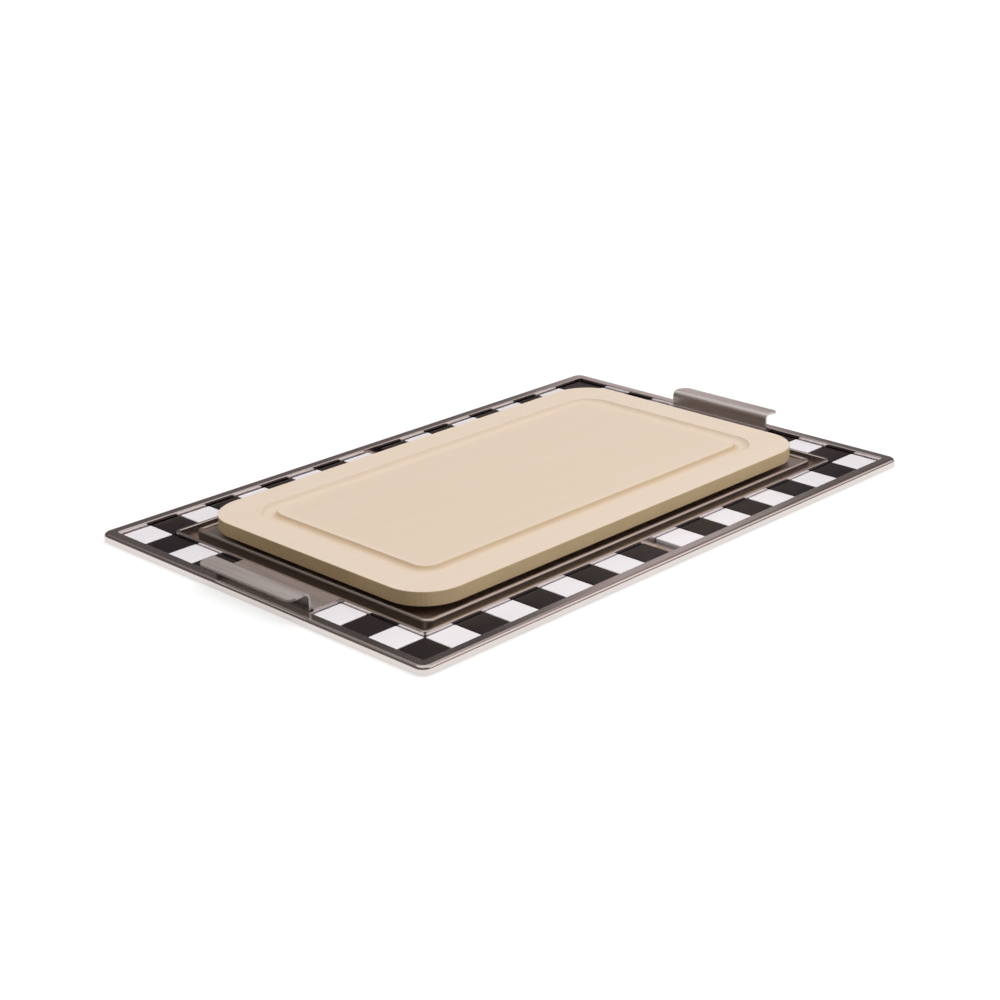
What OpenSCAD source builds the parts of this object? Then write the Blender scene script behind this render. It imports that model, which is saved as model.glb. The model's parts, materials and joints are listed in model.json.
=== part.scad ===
// Carving board with a steel drip pan, standing in a pressed steel tray.
// The tray carries a band of small square tiles and two folded handles.
// Millimetres, Z up, the table at Z = 0, the long side along X.

/* [Tiles] */
// Pitch of the square tiles along the band
tile_pitch = 25.4; // [24.4:0.1:26.4]
// Gap left between two neighbouring tiles
tile_gap = 0.5; // [0.3:0.1:0.8]
// Thickness of a tile
tile_thick = 3; // [2.5:0.1:3.5]
// Rounding of a tile's upper edges
tile_edge = 0.6; // [0.3:0.1:1]
// Rounding of a tile's corners seen from above
tile_corner = 0.8; // [0.4:0.1:1.5]
// Bare gap at the middle of each long row
middle_gap = 12; // [8:0.5:16]
// Gap in each short row that the handle stands in
handle_gap = 96.5; // [92:0.5:104]

/* [Tray] */
// Thickness of the tray's sheet
sheet = 1; // [0.8:0.05:1.2]
// Height of the rim's flat top over the table
rim_height = 6.2; // [5.9:0.1:6.8]
// Width of the rim outside its inner wall
rim_width = 8.9; // [8.2:0.1:10]
// Corner radius of the rim
rim_corner = 7.5; // [6:0.5:9]
// Radius of the rolled shoulder
rim_shoulder = 2.6; // [2:0.1:3.2]
// Air between the rim's lower edge and the table
rim_lift = 0.6; // [0.3:0.1:1.2]
// Gap between the tiles and the rim's inner wall
rim_clear = 1.2; // [0.8:0.1:1.6]
// Rounding of the rim's inner edge
crest_edge = 0.7; // [0.4:0.1:0.75]
// Width of the rib between the tiles and the trough
rib_width = 2.6; // [2.6:0.1:3]
// Height of the rib's top over the table
rib_height = 6.2; // [5.8:0.1:6.8]
// Rounding of the rib's upper edges
rib_edge = 0.8; // [0.5:0.1:0.9]
// Outer corner radius of the rib
rib_corner = 5; // [4:0.5:6]
// Gap between the tiles and the rib
rib_clear = 0.2; // [0.15:0.05:0.4]
// Height of the plinth that centres the drip pan
plinth_height = 1.2; // [0.9:0.1:1.5]

/* [Drip pan] */
// Width of the trough beside the pan's short sides
trough_end = 8.3; // [7.3:0.1:9.3]
// Width of the trough beside the pan's long sides
trough_side = 6.9; // [6:0.1:8]
// Thickness of the pan's sheet
pan_sheet = 1; // [0.8:0.05:1.15]
// Height of the pan from its lower edge to its bead
pan_height = 6; // [5.5:0.1:6.5]
// Depth of the pan's floor below its bead
pan_sink = 1.4; // [1.3:0.05:1.7]
// Width of the folded bead
bead_width = 4; // [3.6:0.1:4.3]
// Outer corner radius of the pan
pan_corner = 6; // [5.5:0.1:7.5]
// Gap between the pan's skirt and the plinth
plinth_clear = 0.5; // [0.35:0.05:0.8]

/* [Carving board] */
// Thickness of the board
board_thick = 10; // [9:0.1:11]
// Distance of the board's ends inside the pan's bead
board_inset_x = 1.9; // [1:0.1:3]
// Distance of the board's long sides inside the pan's bead
board_inset_y = 4; // [2.8:0.1:5.4]
// Corner radius of the board
board_corner = 31; // [28:0.5:34]
// Rounding of the board's edges
board_edge = 0.5; // [0.3:0.1:1]
// Width of the border outside the juice groove
groove_border = 23.3; // [21:0.5:26]
// Width of the juice groove
groove_width = 11.8; // [10:0.2:14]
// Depth of the juice groove
groove_depth = 3.2; // [2.4:0.1:4.2]
// Corner radius of the juice groove along its middle
groove_corner = 17; // [14:0.5:20]

/* [Feet] */
// Height of the rubber feet under the board
foot_height = 3.9; // [3:0.1:5]
// Width of a foot where it meets the board
foot_width = 14; // [11:0.5:17]
// Distance of a foot's middle from the board's end
foot_inset = 27; // [24:0.5:32]

/* [Handles] */
// Thickness of the handles' sheet
handle_sheet = 1.5; // [1.3:0.05:1.7]
// Height of the grip's top over the handle's base plate
handle_rise = 11.7; // [10.5:0.1:13]
// Length of the upright web and of the grip
handle_length = 92.4; // [84:0.2:92.8]
// Distance of the upright web from the rim's inner wall
web_inset = 2.3; // [1.8:0.1:3]
// Inner radius of the bend under the grip
grip_bend = 3; // [2.4:0.1:3.6]
// Reach of the grip from the upright web
grip_reach = 14.4; // [13:0.2:16]
// Slope of the grip in degrees
grip_droop = 6; // [4:0.5:9]
// Corner radius of the grip
grip_corner = 6; // [4:0.5:7]
// Inner radius of the bend at the base plate
base_bend = 0.6; // [0.4:0.1:1]
// Gap between a base plate and the tiles beside it
plate_clear = 0.25; // [0.2:0.05:0.4]

/* [Hidden] */
$fn = 72;

long_run = 9;
side_run = 4;
field_x = long_run * tile_pitch + middle_gap / 2;
field_y = side_run * tile_pitch + handle_gap / 2;
tile_side = tile_pitch - tile_gap;
rib_x = field_x - tile_pitch - rib_clear;
rib_y = field_y - tile_pitch - rib_clear;
wall_x = field_x + rim_clear;
wall_y = field_y + rim_clear;
wall_corner = sheet;
out_x = wall_x + rim_width;
out_y = wall_y + rim_width;
pan_x = rib_x - rib_width - trough_end;
pan_y = rib_y - rib_width - trough_side;
pan_floor = sheet + pan_height - pan_sink;
plinth_x = pan_x - pan_sheet - plinth_clear;
plinth_y = pan_y - pan_sheet - plinth_clear;
plinth_corner = pan_corner - pan_sheet - plinth_clear;
board_x = pan_x - board_inset_x;
board_y = pan_y - board_inset_y;
board_z = pan_floor + foot_height;
board_top = board_z + board_thick;
groove_x = board_x - groove_border - groove_width / 2;
groove_y = board_y - groove_border - groove_width / 2;
groove_radius = (pow(groove_width / 2, 2) + pow(groove_depth, 2)) / (2 * groove_depth);
plate_top = rib_height;
land_top = plate_top - handle_sheet;
land_half = handle_gap / 2 - 2 * plate_clear;
web_x = wall_x - web_inset;
grip_top = plate_top + handle_rise;
grip_margin = 0.6 * handle_sheet;
grip_start = handle_rise / 2.34;
grip_block = 1.4 * grip_reach;
foot_edge = foot_width / 28;
foot_taper = foot_width / 15;

// Rectangle with rounded corners, half sizes hx and hy.
module rounded(hx, hy, r) {
  square([2 * (hx - r), 2 * hy], center = true);
  square([2 * hx, 2 * (hy - r)], center = true);
  for (sx = [-1, 1], sy = [-1, 1])
    translate([sx * (hx - r), sy * (hy - r)])
      circle(r);
}

// Carries a cross-section once round a rounded rectangle.
// In the section X points outward from the path and Y is the height.
module sweep(hx, hy, r) {
  for (a = [0, 180])
    rotate([0, 0, a])
      translate([hx, 0, 0])
        rotate([90, 0, 0])
          linear_extrude(2 * (hy - r), center = true)
            children();
  for (a = [90, 270])
    rotate([0, 0, a])
      translate([hy, 0, 0])
        rotate([90, 0, 0])
          linear_extrude(2 * (hx - r), center = true)
            children();
  for (q = [[1, 1, 0], [-1, 1, 90], [-1, -1, 180], [1, -1, 270]])
    translate([q[0] * (hx - r), q[1] * (hy - r), 0])
      rotate([0, 0, q[2]])
        rotate_extrude(angle = 90)
          translate([r, 0])
            children();
}

// Rectangle from one corner to the other.
module box2(x0, y0, x1, y1) {
  translate([x0, y0])
    square([x1 - x0, y1 - y0]);
}

// Outside of the rim: the skirt and the rolled shoulder above it.
module rim_section() {
  roll = rim_height - rim_shoulder;
  box2(-sheet, rim_lift, 0, roll);
  intersection() {
    translate([-rim_shoulder, roll])
      difference() {
        circle(rim_shoulder);
        circle(rim_shoulder - sheet);
      }
    box2(-rim_shoulder, roll, sheet, rim_height + sheet);
  }
}

// Rounded inner edge of the rim's top.
module crest_section() {
  box2(0, rim_height - sheet, sheet, rim_height - crest_edge);
  box2(crest_edge, rim_height - crest_edge, sheet, rim_height);
  intersection() {
    translate([crest_edge, rim_height - crest_edge])
      circle(crest_edge);
    box2(0, rim_height - crest_edge, crest_edge, rim_height);
  }
}

// The rib, one fold of the sheet that is open below, with both edges rounded.
module rib_section() {
  difference() {
    union() {
      box2(-rib_width, 0, 0, rib_height - rib_edge);
      box2(-rib_width + rib_edge, 0, -rib_edge, rib_height);
      for (x = [-rib_edge, -rib_width + rib_edge])
        translate([x, rib_height - rib_edge])
          circle(rib_edge);
    }
    box2(-rib_width + sheet, -1, -sheet, rib_height - sheet);
  }
}

// Plan of the pads under the two handles, between the rib and the inner wall.
module land_band() {
  for (s = [-1, 1])
    translate([s * (rib_x + wall_x) / 2, 0])
      square([wall_x - rib_x, 2 * land_half], center = true);
}

// Plan of the hollows under those pads.
module land_plan() {
  for (s = [-1, 1])
    translate([s * (rib_x + wall_x) / 2, 0])
      square([wall_x - rib_x, 2 * (land_half - sheet)], center = true);
}

// Plan of the plinth, or of the hollow under it.
module plinth_plan(inset) {
  rounded(plinth_x - inset, plinth_y - inset, plinth_corner - inset);
}

// Plan of the rim's inner wall and everything inside it.
module wall_plan(grow) {
  rounded(wall_x + grow, wall_y + grow, wall_corner + grow);
}

// Plan of the rib, with its outline moved inward by an inset.
module rib_plan(inset) {
  rounded(rib_x - inset, rib_y - inset, rib_corner - inset);
}

// Upright extrusion of a plan from z0 up to z1.
module rise(z0, z1) {
  translate([0, 0, z0])
    linear_extrude(z1 - z0)
      children();
}

// One pressed sheet: rim, channel for the tiles, rib, trough and plinth.
module tray() {
  color([0.72, 0.70, 0.70])
    union() {
      rise(0, sheet)
        difference() {
          wall_plan(sheet);
          rib_plan(0);
          land_plan();
        }
      rise(0, sheet)
        difference() {
          rib_plan(rib_width);
          plinth_plan(sheet);
        }
      rise(sheet, rim_height - sheet)
        difference() {
          wall_plan(sheet);
          wall_plan(0);
        }
      rise(sheet, plinth_height)
        difference() {
          plinth_plan(0);
          plinth_plan(sheet);
        }
      rise(plinth_height, sheet + plinth_height)
        plinth_plan(0);
      rise(sheet, land_top - sheet)
        difference() {
          land_band();
          land_plan();
        }
      rise(land_top - sheet, land_top)
        land_band();
      sweep(rib_x, rib_y, rib_corner) rib_section();
      sweep(wall_x, wall_y, wall_corner) crest_section();
      rise(rim_height - sheet, rim_height)
        difference() {
          rounded(out_x - rim_shoulder, out_y - rim_shoulder, rim_corner - rim_shoulder);
          wall_plan(sheet);
        }
      sweep(out_x, out_y, rim_corner) rim_section();
    }
}

// Bent strip between two angles of a bend, seen from the side.
module bend(cx, cz, ri, a0, a1) {
  translate([cx, cz])
    intersection() {
      difference() {
        circle(ri + handle_sheet);
        circle(ri);
      }
      polygon([
        [0, 0],
        3 * (ri + handle_sheet) * [cos(a0), sin(a0)],
        5 * (ri + handle_sheet) * [cos((a0 + a1) / 2), sin((a0 + a1) / 2)],
        3 * (ri + handle_sheet) * [cos(a1), sin(a1)]
      ]);
    }
}

// Side view of a folded handle: base plate, upright web, bend and grip.
module handle_section() {
  bend_z = grip_top - handle_sheet - grip_bend;
  inner_x = web_x - handle_sheet - base_bend;
  box2(rib_x + rib_clear, land_top, inner_x, plate_top);
  bend(inner_x, plate_top + base_bend, base_bend, -90, 0);
  box2(web_x - handle_sheet, plate_top + base_bend, web_x, bend_z);
  bend(web_x + grip_bend, bend_z, grip_bend, 90 - grip_droop, 180);
  translate([web_x + grip_bend, bend_z])
    rotate(-grip_droop)
      box2(0, grip_bend, (grip_reach - grip_bend) / cos(grip_droop),
        grip_bend + handle_sheet);
}

// The handle on the right; the left one is the same piece turned round.
module handle() {
  color([0.76, 0.75, 0.74])
    intersection() {
      rotate([90, 0, 0])
        linear_extrude(handle_gap, center = true)
          handle_section();
      translate([0, 0, land_top - 1])
        linear_extrude(handle_rise + handle_sheet + 3) {
          box2(rib_x, plate_clear - handle_gap / 2, web_x - handle_sheet - base_bend,
            handle_gap / 2 - plate_clear);
          box2(rib_x + grip_start, -handle_length / 2, web_x + grip_bend, handle_length / 2);
          translate([web_x + grip_reach - grip_block, 0])
            rounded(grip_block + grip_margin, handle_length / 2, grip_corner);
        }
    }
}

module left_handle() {
  rotate([0, 0, 180])
    handle();
}

module right_handle() {
  handle();
}

// One square tile with softened upper edges, standing on the channel floor.
module tile() {
  h = tile_side / 2;
  translate([0, 0, sheet])
    intersection() {
      linear_extrude(tile_thick)
        rounded(h, h, tile_corner);
      for_side(0) tile_section();
      for_side(90) tile_section();
    }
}

module for_side(a) {
  rotate([90, 0, a])
    linear_extrude(2 * tile_side, center = true)
      children();
}

// Side view of a tile.
module tile_section() {
  h = tile_side / 2;
  box2(-h, -1, h, tile_thick - tile_edge);
  box2(-h + tile_edge, -1, h - tile_edge, tile_thick);
  for (s = [-1, 1])
    translate([s * (h - tile_edge), tile_thick - tile_edge])
      circle(tile_edge);
}

// Every second tile of a long row; the row breaks at the middle gap.
module long_row(side, first) {
  y = side * (field_y - tile_pitch / 2);
  for (k = [first : 2 : 2 * long_run - 1]) {
    half = k < long_run ? 0 : middle_gap;
    translate([-field_x + half + (k + 0.5) * tile_pitch, y, 0])
      tile();
  }
}

// Every second tile of a short row; the row breaks where the handle stands.
module short_row(side, first) {
  x = side * (field_x - tile_pitch / 2);
  for (k = [first : 2 : 2 * side_run - 2]) {
    half = k < side_run ? 0 : handle_gap;
    translate([x, -field_y + half + (k + 0.5) * tile_pitch, 0])
      tile();
  }
}

module front_black_tiles() {
  color([0.06, 0.05, 0.05])
    long_row(-1, 0);
}

module front_white_tiles() {
  color([0.92, 0.90, 0.90])
    long_row(-1, 1);
}

module rear_black_tiles() {
  color([0.06, 0.05, 0.05])
    long_row(1, 1);
}

module rear_white_tiles() {
  color([0.92, 0.90, 0.90])
    long_row(1, 0);
}

module left_black_tiles() {
  color([0.06, 0.05, 0.05])
    short_row(-1, 2);
}

module left_white_tiles() {
  color([0.92, 0.90, 0.90])
    short_row(-1, 1);
}

module right_black_tiles() {
  color([0.06, 0.05, 0.05])
    short_row(1, 1);
}

module right_white_tiles() {
  color([0.92, 0.90, 0.90])
    short_row(1, 2);
}

// Edge of the drip pan: skirt, folded bead and the step down to the floor.
module pan_section() {
  r = bead_width / 2;
  z1 = sheet + pan_height;
  difference() {
    union() {
      box2(-bead_width, pan_floor - pan_sheet, 0, z1 - r);
      box2(-pan_sheet, sheet, 0, z1 - r);
      translate([-r, z1 - r])
        circle(r);
    }
    box2(-bead_width + pan_sheet, 0, -pan_sheet, z1 - r);
    translate([-r, z1 - r])
      circle(r - pan_sheet);
  }
}

module drip_pan() {
  color([0.66, 0.62, 0.62])
    union() {
      sweep(pan_x, pan_y, pan_corner) pan_section();
      rise(pan_floor - pan_sheet, pan_floor)
        rounded(pan_x - bead_width + pan_sheet / 2, pan_y - bead_width + pan_sheet / 2,
          pan_corner - bead_width + pan_sheet / 2);
    }
}

// Outer edge of the board, softened above and below.
module board_section() {
  box2(-board_corner, board_z, -board_edge, board_top);
  box2(-board_corner, board_z + board_edge, 0, board_top - board_edge);
  for (z = [board_z + board_edge, board_top - board_edge])
    translate([-board_edge, z])
      circle(board_edge);
}

module carving_board() {
  color([0.87, 0.80, 0.71])
    difference() {
      union() {
        sweep(board_x, board_y, board_corner) board_section();
        translate([0, 0, (board_z + board_top) / 2])
          cube([2 * (board_x - board_corner), 2 * (board_y - board_corner),
            board_thick], center = true);
      }
      sweep(groove_x, groove_y, groove_corner)
        translate([0, board_top + groove_radius - groove_depth])
          circle(groove_radius);
    }
}

// Four soft pads that keep the board off the pan's floor.
module board_feet() {
  color([0.13, 0.12, 0.12])
    for (sx = [-1, 1], sy = [-1, 1])
      translate([sx * (board_x - foot_inset), sy * (board_y - foot_inset), pan_floor])
        rotate_extrude() {
          polygon([
            [0, 0],
            [foot_width / 2 - foot_taper - foot_edge, 0],
            [foot_width / 2 - foot_taper, foot_edge],
            [foot_width / 2, foot_height],
            [0, foot_height]
          ]);
        }
}

tray();
left_handle();
right_handle();
front_black_tiles();
front_white_tiles();
rear_black_tiles();
rear_white_tiles();
left_black_tiles();
left_white_tiles();
right_black_tiles();
right_white_tiles();
drip_pan();
carving_board();
board_feet();
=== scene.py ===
import json
import math

import bmesh
import bpy
from mathutils import Matrix, Vector


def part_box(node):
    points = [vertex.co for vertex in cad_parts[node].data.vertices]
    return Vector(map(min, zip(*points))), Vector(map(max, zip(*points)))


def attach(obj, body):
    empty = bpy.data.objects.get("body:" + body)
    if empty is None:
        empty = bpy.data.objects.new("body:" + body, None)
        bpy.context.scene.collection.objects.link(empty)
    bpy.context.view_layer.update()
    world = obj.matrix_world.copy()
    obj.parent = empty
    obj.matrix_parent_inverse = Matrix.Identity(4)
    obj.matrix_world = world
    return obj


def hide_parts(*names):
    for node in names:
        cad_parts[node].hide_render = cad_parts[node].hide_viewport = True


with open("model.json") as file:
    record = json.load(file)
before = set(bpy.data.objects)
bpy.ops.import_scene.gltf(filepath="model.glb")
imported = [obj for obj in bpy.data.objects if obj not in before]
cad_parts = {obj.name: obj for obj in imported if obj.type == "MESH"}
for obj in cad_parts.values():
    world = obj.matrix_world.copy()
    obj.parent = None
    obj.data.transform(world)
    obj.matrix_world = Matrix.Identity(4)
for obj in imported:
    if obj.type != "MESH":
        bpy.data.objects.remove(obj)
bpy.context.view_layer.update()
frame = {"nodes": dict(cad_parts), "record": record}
nodes = frame["nodes"]
scene = bpy.context.scene
scene.view_settings.view_transform = "Standard"

# Camera at the photograph's place: 21 degrees down, over the near corner. Metres and radians.
CAMERA_PLACE = (-0.9543, -0.9214, 0.5054)
CAMERA_DOWN = math.radians(20.809)
CAMERA_TURN = math.radians(44.479)
CAMERA_ROLL = math.radians(-0.919)
LENS_MM = 71.51
FILM_MM = 36.0
CAMERA_SIGHT = 60.0


def place_camera():
    ahead = Vector((math.cos(CAMERA_DOWN) * math.cos(CAMERA_TURN),
                    math.cos(CAMERA_DOWN) * math.sin(CAMERA_TURN),
                    -math.sin(CAMERA_DOWN)))
    level = Vector((math.sin(CAMERA_TURN), -math.cos(CAMERA_TURN), 0.0))
    above = level.cross(ahead)
    right = level * math.cos(CAMERA_ROLL) + above * math.sin(CAMERA_ROLL)
    up = above * math.cos(CAMERA_ROLL) - level * math.sin(CAMERA_ROLL)
    data = bpy.data.cameras.new("photo_camera")
    data.sensor_width = FILM_MM
    data.lens = LENS_MM
    data.clip_end = CAMERA_SIGHT
    camera = bpy.data.objects.new("photo_camera", data)
    scene.collection.objects.link(camera)
    x, y, z = CAMERA_PLACE
    camera.matrix_world = Matrix((
        (right.x, up.x, -ahead.x, x),
        (right.y, up.y, -ahead.y, y),
        (right.z, up.z, -ahead.z, z),
        (0.0, 0.0, 0.0, 1.0),
    ))
    scene.camera = camera


# Helpers for node trees.
class Recipe:
    """One node tree, with short calls that add nodes and give the socket that carries on."""

    def __init__(self, tree):
        self.tree = tree

    def add(self, kind, **values):
        made = self.tree.nodes.new(kind)
        for key, value in values.items():
            setattr(made, key, value)
        return made

    def join(self, out, into):
        self.tree.links.new(out, into)

    def feed(self, socket, value):
        """Join another socket to this one, or give it a plain value."""
        if isinstance(value, bpy.types.NodeSocket):
            self.join(value, socket)
        else:
            socket.default_value = value

    def math(self, operation, a, b=0.0, clamp=False):
        made = self.add("ShaderNodeMath", operation=operation, use_clamp=clamp)
        self.feed(made.inputs[0], a)
        self.feed(made.inputs[1], b)
        return made.outputs[0]

    def plus(self, a, b, clamp=False):
        return self.math("ADD", a, b, clamp)

    def less(self, a, b):
        return self.math("SUBTRACT", a, b)

    def times(self, a, b):
        return self.math("MULTIPLY", a, b)

    def size_of(self, a):
        return self.math("ABSOLUTE", a)

    def vector(self, operation, *values):
        made = self.add("ShaderNodeVectorMath", operation=operation)
        for socket, value in zip(made.inputs, values):
            self.feed(socket, value)
        return made.outputs["Value" if operation == "LENGTH" else "Vector"]

    def split(self, vector):
        made = self.add("ShaderNodeSeparateXYZ")
        self.join(vector, made.inputs[0])
        return made.outputs

    def stretch(self, vector, scale):
        made = self.add("ShaderNodeMapping")
        self.join(vector, made.inputs["Vector"])
        made.inputs["Scale"].default_value = scale
        return made.outputs[0]

    def noise(self, vector, scale=1.0, detail=2.0, rough=0.5):
        made = self.add("ShaderNodeTexNoise")
        self.join(vector, made.inputs["Vector"])
        made.inputs["Scale"].default_value = scale
        made.inputs["Detail"].default_value = detail
        made.inputs["Roughness"].default_value = rough
        return made.outputs[0]

    def span(self, value, low, high, to_low=0.0, to_high=1.0):
        """Carries the stretch from low to high over to another one, and stops at its ends."""
        made = self.add("ShaderNodeMapRange")
        for socket, given in zip(made.inputs, (value, low, high, to_low, to_high)):
            self.feed(socket, given)
        return made.outputs[0]

    def blend(self, amount, a, b, mode="MIX"):
        made = self.add("ShaderNodeMix", data_type="RGBA", blend_type=mode)
        colours = [socket for socket in made.inputs if socket.type == "RGBA"]
        self.feed(made.inputs[0], amount)
        self.feed(colours[0], a)
        self.feed(colours[1], b)
        return next(socket for socket in made.outputs if socket.type == "RGBA")

    def shaded(self, colour, shade):
        """The colour times one number."""
        grey = self.add("ShaderNodeCombineColor")
        for socket in grey.inputs:
            self.join(shade, socket)
        return self.blend(1.0, colour, grey.outputs[0], "MULTIPLY")

    def facing(self, normal="Normal"):
        """The three parts of the surface's direction."""
        return self.split(self.add("ShaderNodeNewGeometry").outputs[normal])

    def standing_shade(self, depth):
        """Painted shade: 1 on lying faces, and less by the depth on standing ones."""
        steep, flat = 0.2, 0.6
        standing = self.span(self.size_of(self.facing()["Z"]), steep, flat, 1.0, 0.0)
        return self.less(1.0, self.times(standing, depth))

    def bump(self, height, strength, distance):
        made = self.add("ShaderNodeBump")
        made.inputs["Strength"].default_value = strength
        made.inputs["Distance"].default_value = distance
        self.join(height, made.inputs["Height"])
        return made.outputs[0]


def new_material(name):
    made = bpy.data.materials.new(name)
    made.use_nodes = True
    made.node_tree.nodes.clear()
    return made, Recipe(made.node_tree)


# Effects: each is built once, as a node group, and laid on the materials with their own values.
NUMBER, COLOUR, VECTOR = "NodeSocketFloat", "NodeSocketColor", "NodeSocketVector"


def new_effect(name, colours, numbers):
    """An empty group that makes a colour, a roughness and a height of a place and its values."""
    group = bpy.data.node_groups.new(name, "ShaderNodeTree")
    asked = [("Place", VECTOR)]
    asked += [(label, COLOUR) for label in colours]
    asked += [(label, NUMBER) for label in numbers]
    for label, kind in asked:
        group.interface.new_socket(label, in_out="INPUT", socket_type=kind)
    for label, kind in (("Colour", COLOUR), ("Roughness", NUMBER), ("Height", NUMBER)):
        group.interface.new_socket(label, in_out="OUTPUT", socket_type=kind)
    b = Recipe(group)
    return b, b.add("NodeGroupInput").outputs, b.add("NodeGroupOutput").inputs


def brushed_grain():
    """Fine parallel lines of a brushed sheet, a painted sheen that makes the top paler, and painted
    shade on standing faces.
    """
    broader = (0.16, 0.5, 0.16)
    fine_share, broad_share = 0.65, 0.35
    tone_swing, rough_swing, sheen_gain = 1.6, 0.8, 0.28
    b, given, out = new_effect(
        "brushed grain", ["Colour"], ["Depth", "Roughness", "Side shade", "Painted sheen"])
    fine = b.noise(given["Place"], detail=3.0, rough=0.65)
    broad = b.noise(b.stretch(given["Place"], broader))
    lines = b.plus(b.times(fine, fine_share), b.times(broad, broad_share))
    swing = b.times(b.less(lines, 0.5), given["Depth"])
    # Painted sheen: the top of the grip is made paler.
    gain = b.plus(1.0, b.times(given["Painted sheen"], sheen_gain))
    shade = b.plus(b.times(swing, tone_swing), gain)
    shade = b.times(shade, b.standing_shade(given["Side shade"]))
    b.join(b.shaded(given["Colour"], shade), out["Colour"])
    b.join(b.plus(given["Roughness"], b.times(swing, rough_swing)), out["Roughness"])
    b.join(lines, out["Height"])
    return b.tree


def handled_steel():
    """Smudges that handling leaves on a smooth sheet, its faint waviness, and painted shade on standing
    faces.
    """
    smudges_in_a_metre, waves_in_a_metre = 17.0, 30.0
    smudge_tone = 0.6
    b, given, out = new_effect("handled steel", ["Colour"], ["Roughness", "Smudge", "Side shade"])
    cloud = b.span(b.noise(given["Place"], smudges_in_a_metre, detail=0.0), 0.15, 0.85)
    shade = b.less(1.0, b.times(cloud, b.times(given["Smudge"], smudge_tone)))
    # Painted shade on standing faces.
    shade = b.times(shade, b.standing_shade(given["Side shade"]))
    b.join(b.shaded(given["Colour"], shade), out["Colour"])
    b.join(b.plus(given["Roughness"], b.times(cloud, given["Smudge"])), out["Roughness"])
    b.join(b.noise(given["Place"], waves_in_a_metre, detail=0.0), out["Height"])
    return b.tree


def poured_glaze():
    """Tone that differs a little from tile to tile, with the soft swell and pinholes of a glaze."""
    clouds_in_a_metre, specks_in_a_metre, swells_in_a_metre = 60.0, 900.0, 95.0
    cloud_share, speck_rough, speck_dent = 0.8, 0.25, 0.12
    b, given, out = new_effect("poured glaze", ["Colour"], ["Tone swing", "Roughness"])
    lot = b.add("ShaderNodeNewGeometry").outputs["Random Per Island"]
    cloud = b.noise(given["Place"], clouds_in_a_metre, detail=3.0)
    swing = b.plus(b.less(lot, 0.5), b.times(b.less(cloud, 0.5), cloud_share))
    shade = b.plus(1.0, b.times(swing, given["Tone swing"]))
    b.join(b.shaded(given["Colour"], shade), out["Colour"])
    speck = b.span(b.noise(given["Place"], specks_in_a_metre, detail=1.0), 0.72, 0.78)
    b.join(b.plus(given["Roughness"], b.times(speck, speck_rough)), out["Roughness"])
    swell = b.noise(given["Place"], swells_in_a_metre, detail=1.0, rough=0.4)
    b.join(b.less(swell, b.times(speck, speck_dent)), out["Height"])
    return b.tree


# The juice groove: its border, width and corner are those of the board's solid, in metres.
# The rest are drops below the board's top, pairs of distances from the groove's middle line,
# which are less than nought on its inner side, and shares of the painted shade in the groove and of the
# darker middle field.
GROOVE_BORDER = 0.0233
GROOVE_WIDTH = 0.0118
GROOVE_CORNER = 0.017
GROOVE_LIP_DROP, GROOVE_SURE_DROP = 0.00001, 0.0003
GROOVE_EDGE = (0.0062, 0.0072)
INNER_WALL = (-0.0050, -0.0015)
FLOOR_SHADE, WALL_SHADE = 0.12, 0.88
# The middle field inside the groove is darkened a little towards the deep colour.
MIDDLE_FIELD = (-0.0120, -0.0060)
MIDDLE_DARKENING = 0.13


def groove_fields(b, place):
    """What lies in the groove, how much painted shade the groove gets there, and the darker middle
    field.
    """
    board_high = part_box("carving_board")[1]
    to_middle = GROOVE_BORDER + GROOVE_WIDTH / 2
    straight_x = board_high[0] - to_middle - GROOVE_CORNER
    straight_y = board_high[1] - to_middle - GROOVE_CORNER
    past = b.vector("SUBTRACT", b.vector("ABSOLUTE", place), (straight_x, straight_y, 1.0))
    past = b.vector("MAXIMUM", past, (0.0, 0.0, 0.0))
    across = b.less(b.vector("LENGTH", past), GROOVE_CORNER)
    top = board_high[2]
    sure, lip = top - GROOVE_SURE_DROP, top - GROOVE_LIP_DROP
    below_top = b.span(b.split(place)["Z"], sure, lip, 1.0, 0.0)
    sunk = b.times(below_top, b.span(across, *GROOVE_EDGE, 1.0, 0.0))
    # Painted shade in the groove, strongest on its inner wall.
    groove_shade = b.plus(FLOOR_SHADE, b.times(b.span(across, *INNER_WALL, 1.0, 0.0), WALL_SHADE))
    middle_dark = b.times(b.span(across, *MIDDLE_FIELD, 1.0, 0.0), MIDDLE_DARKENING)
    return sunk, groove_shade, middle_dark


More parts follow.
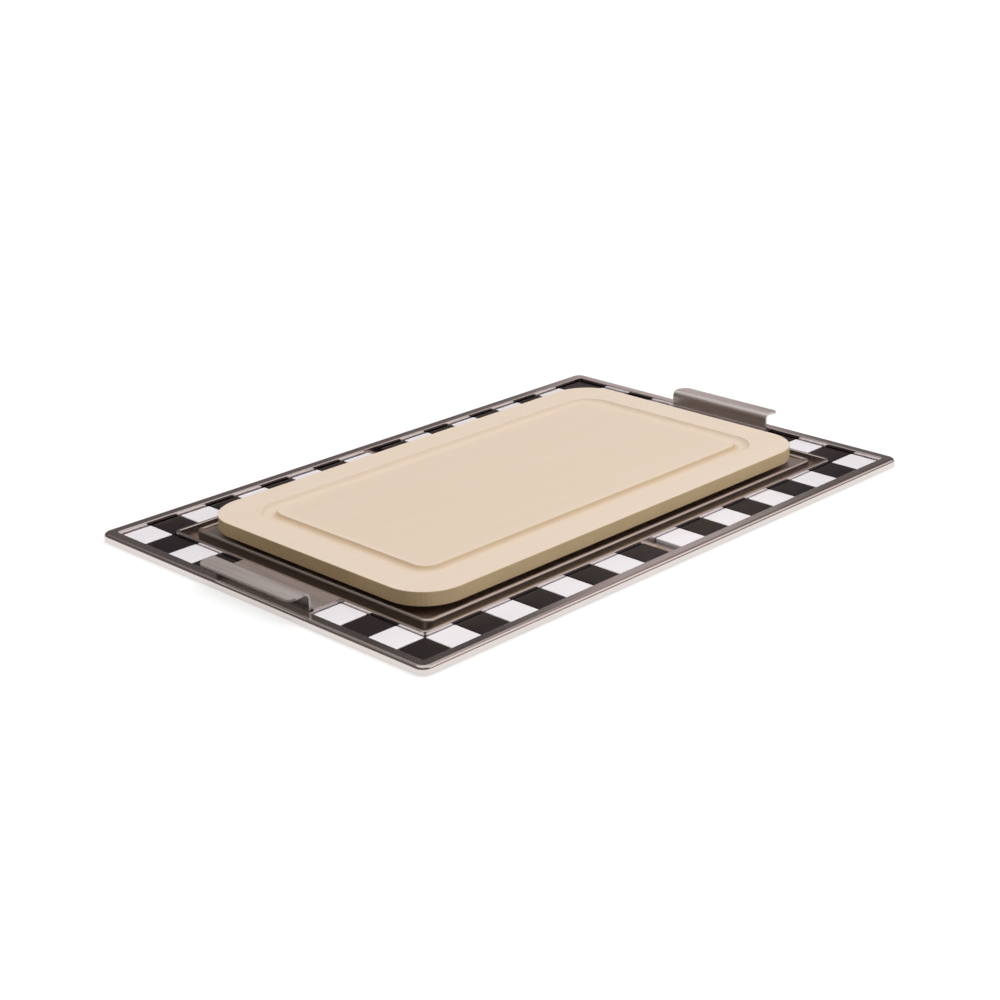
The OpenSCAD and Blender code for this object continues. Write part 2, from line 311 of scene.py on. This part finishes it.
def board_grain():
    """Close straight grain along the board, pores, end grain, and painted shade in the juice groove."""
    wander_grid, ring_grid = (2.2, 9.0, 9.0), (2.4, 150.0, 110.0)
    fibre_grid, pore_grid = (26.0, 1500.0, 1200.0), (150.0, 2400.0, 2400.0)
    saw_grid = (500.0, 700.0, 700.0)
    most_wander = (0.0, 0.02, 0.02)
    ring_share, fibre_share, pore_share, saw_share = 0.7, 0.3, 0.8, 0.3
    base_roughness, grain_roughness, fibre_height = 0.46, 0.15, 0.4
    b, given, out = new_effect(
        "board grain", ["Colour", "Deep colour", "Side colour", "End colour and shade"], ["Grain", "Groove shade"])
    place = given["Place"]
    wander = b.noise(b.stretch(place, wander_grid))
    bent = b.vector("MULTIPLY_ADD", wander, most_wander, place)
    rings = b.noise(b.stretch(bent, ring_grid), detail=3.0, rough=0.6)
    fibre = b.noise(b.stretch(place, fibre_grid), rough=0.6)
    pores = b.span(b.noise(b.stretch(place, pore_grid), detail=1.0), 0.68, 0.78)
    streak = b.plus(b.times(b.span(rings, 0.3, 0.7), ring_share), b.times(fibre, fibre_share))
    depth = b.times(streak, given["Grain"])
    depth = b.plus(depth, b.times(pores, b.times(given["Grain"], pore_share)), clamp=True)

    facing = b.facing("True Normal")
    standing = b.span(b.size_of(facing["Z"]), 0.3, 0.95, 1.0, 0.0)
    end = b.span(b.size_of(facing["X"]), 0.55, 0.95)
    saw = b.span(b.noise(b.stretch(place, saw_grid), rough=0.6), 0.35, 0.75)
    depth = b.plus(depth, b.times(end, b.times(saw, saw_share)), clamp=True)

    sunk, groove_shade, middle_dark = groove_fields(b, place)
    # The groove's painted shade and the darker middle field both deepen the top's colour.
    darkened = b.math("MAXIMUM", middle_dark, b.times(b.times(sunk, groove_shade), given["Groove shade"]))
    top_face = b.blend(darkened, given["Colour"], given["Deep colour"])
    # End faces: end grain's darker tone, partly painted shade.
    side_face = b.blend(end, given["Side colour"], given["End colour and shade"])
    face = b.blend(b.times(standing, b.less(1.0, sunk)), top_face, side_face)
    b.join(b.blend(depth, face, given["Deep colour"]), out["Colour"])
    b.join(b.plus(base_roughness, b.times(depth, grain_roughness)), out["Roughness"])
    b.join(b.less(b.times(fibre, fibre_height), pores), out["Height"])
    return b.tree


GRAIN, HANDLED = brushed_grain(), handled_steel()
GLAZE, WOOD = poured_glaze(), board_grain()


# Materials: colours are linear, and a bump is a strength and a distance in metres.
def finish(name, effect, values, bump, metallic=0.0, shine=0.5, along=None):
    """A material whose colour, roughness and bump come from one effect, drawn out where asked."""
    made, b = new_material(name)
    shader = b.add("ShaderNodeBsdfPrincipled")
    b.join(shader.outputs[0], b.add("ShaderNodeOutputMaterial").inputs[0])
    shader.inputs["Metallic"].default_value = metallic
    shader.inputs["Specular IOR Level"].default_value = shine
    place = b.add("ShaderNodeTexCoord").outputs["Object"]
    laid = b.add("ShaderNodeGroup", node_tree=effect)
    b.join(b.stretch(place, along) if along else place, laid.inputs["Place"])
    for label, value in values.items():
        laid.inputs[label].default_value = value
    b.join(laid.outputs["Colour"], shader.inputs["Base Color"])
    b.join(laid.outputs["Roughness"], shader.inputs["Roughness"])
    b.join(b.bump(laid.outputs["Height"], *bump), shader.inputs["Normal"])
    return made, b, place, laid


def tray_steel():
    values = {"Colour": (0.74, 0.68, 0.655, 1.0), "Roughness": 0.14, "Smudge": 0.05}
    return finish("tray_steel_satin", HANDLED, values, bump=(0.2, 0.00006), metallic=1.0)[0]


def pan_steel():
    # Side shade paints the pan's standing skirt darker: painted shade.
    values = {"Colour": (0.64, 0.565, 0.515, 1.0), "Roughness": 0.27, "Smudge": 0.06,
              "Side shade": 0.5}
    return finish("pan_steel_smooth", HANDLED, values, bump=(0.2, 0.00006), metallic=1.0)[0]


def handle_steel():
    """Brushed along Y, with a painted sheen that makes the grip paler, and painted shade that is darker
    on the outer face than on the inner one.
    """
    lines_in_a_metre = (1400.0, 14.0, 1400.0)
    sheen_starts, sheen_full = 0.005, 0.003
    faces_in, faces_out = 0.01, 0.08
    inner_shade, outer_shade = 0.34, 0.83
    values = {"Colour": (0.80, 0.72, 0.695, 1.0), "Depth": 0.6, "Roughness": 0.42}
    made, b, place, laid = finish("handle_steel_brushed", GRAIN, values, bump=(0.4, 0.00005),
                                  metallic=1.0, along=lines_in_a_metre)
    spot = b.split(place)
    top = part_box("left_handle")[1][2]
    # The top few millimetres of the handle get the painted sheen.
    b.join(b.span(spot["Z"], top - sheen_starts, top - sheen_full), laid.inputs["Painted sheen"])
    # Painted shade: standing faces that look out from the tray are darker than those that look in.
    outward = b.times(spot["X"], b.facing()["X"])
    shade = b.span(outward, faces_in, faces_out, inner_shade, outer_shade)
    b.join(shade, laid.inputs["Side shade"])
    return made


def black_glaze():
    values = {"Colour": (0.0125, 0.0085, 0.0100, 1.0), "Tone swing": 0.5, "Roughness": 0.30}
    return finish("black_glaze", GLAZE, values, bump=(0.4, 0.0002), shine=0.2)[0]


def white_glaze():
    values = {"Colour": (0.84, 0.805, 0.83, 1.0), "Tone swing": 0.04, "Roughness": 0.14}
    return finish("white_glaze", GLAZE, values, bump=(0.3, 0.0002))[0]


def board_wood():
    # The end colour is end grain's darker tone and partly painted shade on the short ends.
    values = {"Colour": (0.755, 0.628, 0.515, 1.0), "Deep colour": (0.56, 0.40, 0.23, 1.0),
              "Side colour": (0.80, 0.61, 0.35, 1.0), "End colour and shade": (0.49, 0.345, 0.18, 1.0),
              "Grain": 0.15, "Groove shade": 0.75}
    return finish("board_wood_oiled", WOOD, values, bump=(0.35, 0.00012), shine=0.3)[0]


def foot_rubber():
    values = {"Colour": (0.035, 0.033, 0.032, 1.0), "Tone swing": 0.3, "Roughness": 0.72}
    return finish("foot_rubber_matt", GLAZE, values, bump=(0.5, 0.0001))[0]


FINISHES = {
    "tray_steel": tray_steel(),
    "handle_steel": handle_steel(),
    "pan_steel": pan_steel(),
    "black_glaze": black_glaze(),
    "white_glaze": white_glaze(),
    "board_wood": board_wood(),
    "foot_rubber": foot_rubber(),
}


def dress_cad_pieces():
    for part in frame["record"]["subparts"]:
        piece = nodes[part["node"]]
        piece.data.materials.clear()
        piece.data.materials.append(FINISHES[part["material_slot"]])


# Tiles: each one is poured anew over its solid, with a softly domed glaze and a slight tilt.
DOME = 0.00028
DOME_RINGS = (0.85, 0.68, 0.5, 0.32, 0.16)
DOME_FILL = 0.98
ROLL = 0.0006
ROLL_STEPS = 4
TILE_CORNER = 0.0008
CORNER_GROWTH = 0.45
ROUNDEST = 0.8
CORNER_STEPS = 4
MOST_LEAN = 0.0045
OTHER_DRAW = 71
SAME_POINT = 1e-6


def separate_tiles(piece):
    """Lowest and highest corner of every tile in one CAD node."""
    mesh = bmesh.new()
    mesh.from_mesh(piece.data)
    bmesh.ops.remove_doubles(mesh, verts=mesh.verts, dist=SAME_POINT)
    seen, boxes = set(), []
    for start in mesh.verts:
        if start in seen:
            continue
        seen.add(start)
        reached, places = [start], []
        while reached:
            vert = reached.pop()
            places.append(vert.co.copy())
            for edge in vert.link_edges:
                other = edge.other_vert(vert)
                if other not in seen:
                    seen.add(other)
                    reached.append(other)
        boxes.append((Vector(map(min, zip(*places))), Vector(map(max, zip(*places)))))
    mesh.free()
    return sorted(boxes, key=lambda box: (round(box[0].x, 4), round(box[0].y, 4)))


def rounded_square(half, radius):
    """Points round a square with round corners, counterclockwise, with one in each side's middle."""
    points = []
    middle = half - radius
    for quarter in range(4):
        turn = quarter * math.pi / 2
        for n in range(CORNER_STEPS + 1):
            a = n * math.pi / 2 / CORNER_STEPS
            x, y = middle + radius * math.cos(a), middle + radius * math.sin(a)
            points.append((x * math.cos(turn) - y * math.sin(turn),
                           x * math.sin(turn) + y * math.cos(turn)))
        points.append((-half * math.sin(turn), half * math.cos(turn)))
    return points


def chance(n):
    """A fixed number from -1 to 1 for each n."""
    stride, stir = 12.9898, 43758.5453
    return 2.0 * ((math.sin(n * stride) * stir) % 1.0) - 1.0


def tile_rings(low, high, half):
    """Inset, height and whether it leans, for each ring from the foot up to the dome."""
    edge = high.z - DOME - ROLL
    rings = [(0.0, low.z, False), (0.0, edge, False)]
    for step in range(1, ROLL_STEPS + 1):
        a = step * math.pi / (2 * ROLL_STEPS)
        rings.append((ROLL * (1 - math.cos(a)), high.z - DOME - ROLL * (1 - math.sin(a)), True))
    for share in DOME_RINGS:
        rings.append((half * (1 - share), high.z - DOME * share ** 2.0 * DOME_FILL, True))
    return rings


def pour_tile(mesh, low, high, number):
    middle = (low + high) / 2
    half = (high.x - low.x) / 2
    lean_x, lean_y = MOST_LEAN * chance(number), MOST_LEAN * chance(number + OTHER_DRAW)
    loops = []
    for inset, z, leaning in tile_rings(low, high, half):
        size = half - inset
        radius = min(TILE_CORNER + CORNER_GROWTH * inset, size * ROUNDEST)
        loop = []
        for x, y in rounded_square(size, radius):
            lift = (x * lean_x + y * lean_y) if leaning else 0.0
            loop.append(mesh.verts.new((middle.x + x, middle.y + y, min(z + lift, high.z))))
        loops.append(loop)
    count = len(loops[0])
    for below, above in zip(loops, loops[1:]):
        for n in range(count):
            m = (n + 1) % count
            mesh.faces.new((below[n], below[m], above[m], above[n]))
    top = mesh.verts.new((middle.x, middle.y, high.z))
    for n in range(count):
        mesh.faces.new((loops[-1][n], loops[-1][(n + 1) % count], top))
    mesh.faces.new(list(reversed(loops[0])))


def lay_tiles(node, slot, first):
    """One row of glazed tiles in the place of its solids; only the many-sided undersides stay flat."""
    sides_of_a_foot = 10
    mesh = bmesh.new()
    for n, (low, high) in enumerate(separate_tiles(nodes[node])):
        pour_tile(mesh, low, high, first + n)
    for face in mesh.faces:
        face.smooth = len(face.verts) < sides_of_a_foot
    data = bpy.data.meshes.new(node + "_glazed")
    mesh.to_mesh(data)
    mesh.free()
    data.materials.append(FINISHES[slot])
    row = bpy.data.objects.new(node + "_glazed", data)
    scene.collection.objects.link(row)
    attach(row, "tray")
    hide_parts(node)


def lay_all_tiles():
    numbers_for_a_row = 10
    first = 1
    for side in ("front", "rear", "left", "right"):
        for tone in ("black", "white"):
            lay_tiles(side + "_" + tone + "_tiles", tone + "_glaze", first)
            first += numbers_for_a_row


# Studio: a pale table, a round screen that only gloss sees, a soft lamp above and one at the right.
TABLE_REACH = 30.0
TABLE_DROP = 0.0002
TABLE_GREY = (0.36, 0.355, 0.35, 1.0)
TABLE_GLOW_NEAR, TABLE_GLOW_FAR = 0.665, 0.95
TABLE_NEAR, TABLE_FAR = 0.5, 1.6
SCREEN_RADIUS = 2.6
SCREEN_SIDES = 96
SCREEN_LEVELS = (0.05, 0.6, 1.1, 1.5, 2.0, 2.6, 3.4)
SCREEN_TINT = (1.0, 0.88, 0.86, 1.0)
# Turn in degrees, the angles in radians at which it starts to fade and is gone, and strength.
PATCH = (37.0, 0.045, 0.12, 0.38)
WINDOW = (-48.0, 0.40, 0.80, 0.86)
LEDGE = (50.0, 0.30, 0.60, 0.16)
# Heights between which a part of the screen changes, and its strengths at both.
DARK_FADE = (0.85, 1.25, 0.18, 0.05)
PALE_RISE = (1.60, 1.90, 0.0, 0.20)
WINDOW_FOOT, WINDOW_HEAD = (0.75, 1.05), (2.7, 3.2)
LEDGE_FOOT = (1.50, 1.75)
WHITE = (1.0, 1.0, 1.0, 1.0)
WORLD_SEEN, WORLD_IN_GLOSS, WORLD_LIGHT = 1.0, 0.82, 0.35


def stage_object(name, points, faces, material):
    mesh = bpy.data.meshes.new(name)
    mesh.from_pydata(points, [], faces)
    mesh.materials.append(material)
    made = bpy.data.objects.new(name, mesh)
    scene.collection.objects.link(made)
    return made


def table_white():
    """Matt, with a glow for the rays that show a background, so that the floor reads as white."""
    made, b = new_material("table_white")
    matt = b.add("ShaderNodeBsdfDiffuse")
    matt.inputs["Color"].default_value = TABLE_GREY
    glow = b.add("ShaderNodeEmission")
    glow.inputs["Color"].default_value = WHITE
    path = b.add("ShaderNodeLightPath").outputs
    seen = b.math("MAXIMUM", path["Is Camera Ray"], path["Is Glossy Ray"])
    seen = b.math("MAXIMUM", seen, path["Is Transmission Ray"])
    away = b.vector("LENGTH", b.add("ShaderNodeTexCoord").outputs["Object"])
    level = b.span(away, TABLE_NEAR, TABLE_FAR, TABLE_GLOW_NEAR, TABLE_GLOW_FAR)
    b.join(b.times(seen, level), glow.inputs["Strength"])
    both = b.add("ShaderNodeAddShader")
    b.join(matt.outputs[0], both.inputs[0])
    b.join(glow.outputs[0], both.inputs[1])
    b.join(both.outputs[0], b.add("ShaderNodeOutputMaterial").inputs[0])
    return made


def stage_table():
    r = TABLE_REACH
    corners = [(-r, -r, 0), (r, -r, 0), (r, r, 0), (-r, r, 0)]
    table = stage_object("table_top", corners, [(0, 1, 2, 3)], table_white())
    table.location.z = -TABLE_DROP


def screen_grey():
    """Dark below and paler above, with a pale patch, a window and a ledge at set turns."""
    made, b = new_material("screen_grey")
    place = b.split(b.add("ShaderNodeTexCoord").outputs["Object"])
    turn = b.math("ARCTAN2", place["Y"], place["X"])
    height = place["Z"]

    def near_turn(degrees, fades, gone, strength):
        gap = b.size_of(b.less(turn, math.radians(degrees)))
        return b.span(gap, fades, gone, strength, 0.0)

    dark = b.plus(near_turn(*PATCH), b.span(height, *DARK_FADE))
    window = b.times(b.span(height, *WINDOW_FOOT), b.span(height, *WINDOW_HEAD, 1.0, 0.0))
    pale = b.plus(b.span(height, *PALE_RISE), b.times(window, near_turn(*WINDOW)))
    pale = b.plus(pale, b.times(b.span(height, *LEDGE_FOOT), near_turn(*LEDGE)))
    glow = b.add("ShaderNodeEmission")
    glow.inputs["Color"].default_value = SCREEN_TINT
    b.join(b.plus(dark, pale), glow.inputs["Strength"])
    b.join(glow.outputs[0], b.add("ShaderNodeOutputMaterial").inputs[0])
    return made


def stage_screen():
    """A round wall, for steel and glaze to show beside the white."""
    points, faces = [], []
    rows = len(SCREEN_LEVELS)
    for n in range(SCREEN_SIDES):
        turn = 2.0 * math.pi * n / SCREEN_SIDES
        x, y = SCREEN_RADIUS * math.cos(turn), SCREEN_RADIUS * math.sin(turn)
        points += [(x, y, z) for z in SCREEN_LEVELS]
        for k in range(rows - 1):
            low, far = rows * n + k, rows * ((n + 1) % SCREEN_SIDES) + k
            faces.append((low, low + 1, far + 1, far))
    screen = stage_object("grey_screen", points, faces, screen_grey())
    screen.visible_camera = False
    screen.visible_shadow = False
    screen.visible_diffuse = False


def lamp(name, place, size, aim, power):
    """A soft rectangle that lights the object and stays out of its gloss."""
    data = bpy.data.lights.new(name, "AREA")
    data.shape = "RECTANGLE"
    data.size, data.size_y = size
    data.energy = power
    made = bpy.data.objects.new(name, data)
    made.location = place
    made.rotation_euler = (Vector(aim) - Vector(place)).to_track_quat("-Z", "Y").to_euler()
    made.visible_glossy = False
    scene.collection.objects.link(made)


def light_studio():
    world = bpy.data.worlds.new("studio")
    scene.world = world
    world.use_nodes = True
    world.node_tree.nodes.clear()
    b = Recipe(world.node_tree)
    path = b.add("ShaderNodeLightPath").outputs
    seen = b.math("MAXIMUM", path["Is Camera Ray"], path["Is Transmission Ray"])
    unseen = b.span(path["Is Glossy Ray"], 0.0, 1.0, WORLD_LIGHT, WORLD_IN_GLOSS)
    back = b.add("ShaderNodeBackground")
    back.inputs["Color"].default_value = WHITE
    b.join(b.span(seen, 0.0, 1.0, unseen, WORLD_SEEN), back.inputs["Strength"])
    b.join(back.outputs[0], b.add("ShaderNodeOutputWorld").inputs[0])
    lamp("lamp_above", place=(0.1, -0.1, 2.0), size=(2.6, 2.2), aim=(0.1, -0.1, 0.0), power=42.0)
    lamp("lamp_right", place=(1.5, -1.65, 1.3), size=(1.8, 1.2), aim=(0.0, 0.0, 0.0), power=7.0)


place_camera()
dress_cad_pieces()
lay_all_tiles()
stage_table()
stage_screen()
light_studio()
